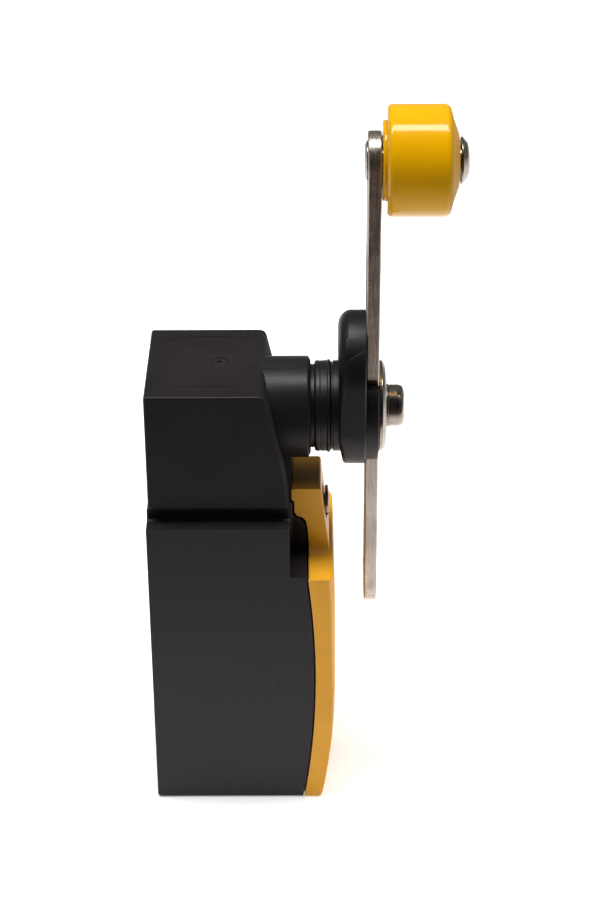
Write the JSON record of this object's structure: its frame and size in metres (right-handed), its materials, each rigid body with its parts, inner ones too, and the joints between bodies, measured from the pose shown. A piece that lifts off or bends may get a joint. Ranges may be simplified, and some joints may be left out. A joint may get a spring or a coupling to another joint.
{
  "type": "limit switch",
  "caption": "Narrow limit switch with a black body, a yellow front cover, a rotary head and an adjustable lever that carries a yellow roller.",
  "frame": {"origin": "on the flat mounting face, midway between the two fixing holes", "axes": "+X out of the mounting face, through the front cover, along the lever shaft; +Z from the cable entry up to the head; +Y across the body, to the right-hand rule"},
  "size_m": [0.0552, 0.031, 0.1307],
  "materials": {
    "black_housing": "moulded satin",
    "black_head": "moulded satin",
    "yellow_cover": "moulded satin",
    "yellow_roller": "polished moulding",
    "black_lever": "moulded satin",
    "bar_steel": "rolled, lightly brushed",
    "nickel_steel": "bright nickel plate",
    "ground_steel": "ground",
    "rubber": "matt",
    "grey_moulding": "moulded matt",
    "red_moulding": "moulded matt",
    "bronze": "sintered",
    "brass": "stamped"
  },
  "bodies": {
    "base": {"block_screw_left": "nickel_steel", "block_screw_right": "nickel_steel", "contact_block": "grey_moulding", "contact_block_lid": "red_moulding", "cover": "yellow_cover", "cover_gasket": "rubber", "cover_screw": "nickel_steel", "head_gasket": "rubber", "head_housing": "black_head", "head_plate": "grey_moulding", "head_plate_screw_left": "nickel_steel", "head_plate_screw_right": "nickel_steel", "head_screw_front": "nickel_steel", "head_screw_rear": "nickel_steel", "housing": "black_housing", "nc_terminal_left": "brass", "nc_terminal_right": "brass", "nc_terminal_screw_left": "nickel_steel", "nc_terminal_screw_right": "nickel_steel", "no_terminal_left": "brass", "no_terminal_right": "brass", "no_terminal_screw_left": "nickel_steel", "no_terminal_screw_right": "nickel_steel", "plunger_seal": "rubber", "return_spring": "ground_steel", "shaft_bush": "bronze", "shaft_seal": "rubber"},
    "lever_shaft": {"shaft": "ground_steel", "cam": "ground_steel", "shaft_circlip": "ground_steel", "lever_hub": "black_lever", "lever_carrier": "black_lever", "clamp_washer": "nickel_steel", "spring_washer": "nickel_steel", "clamp_screw": "nickel_steel"},
    "lever": {"lever_bar": "bar_steel", "roller_axle": "nickel_steel"},
    "roller": {"roller": "yellow_roller", "roller_bush": "bronze"},
    "head_plunger": {"head_plunger": "ground_steel"},
    "contact_carrier": {"contact_carrier": "red_moulding", "nc_bridge": "brass", "no_bridge": "brass", "nc_contact_spring": "ground_steel", "no_contact_spring": "ground_steel", "carrier_return_spring": "ground_steel"}
  },
  "joints": [
    {"name": "lever_swing", "type": "hinge", "parent": "base", "child": "lever_shaft", "pos_m": [0.03, 0, 0.0215], "axis": [1, 0, 0], "range_deg": [-75, 75], "stiffness_Nm_per_rad": 0.12},
    {"name": "lever_length", "type": "slide", "parent": "lever_shaft", "child": "lever", "axis": [0, 0, 1], "range_m": [-0.0245, 0.032]},
    {"name": "roller_spin", "type": "hinge", "parent": "lever", "child": "roller", "pos_m": [0.047, 0, 0.0679], "axis": [1, 0, 0], "continuous": true},
    {"name": "head_plunger_travel", "type": "slide", "parent": "base", "child": "head_plunger", "axis": [0, 0, -1], "range_m": [0, 0.0024], "stiffness_N_per_m": 300},
    {"name": "contact_travel", "type": "slide", "parent": "base", "child": "contact_carrier", "axis": [0, 0, -1], "range_m": [0, 0.0024], "deforming": ["carrier_return_spring"]}
  ],
  "couplings": [
    {"joint": "contact_travel", "follows": "head_plunger_travel", "ratio": 1}
  ]
}
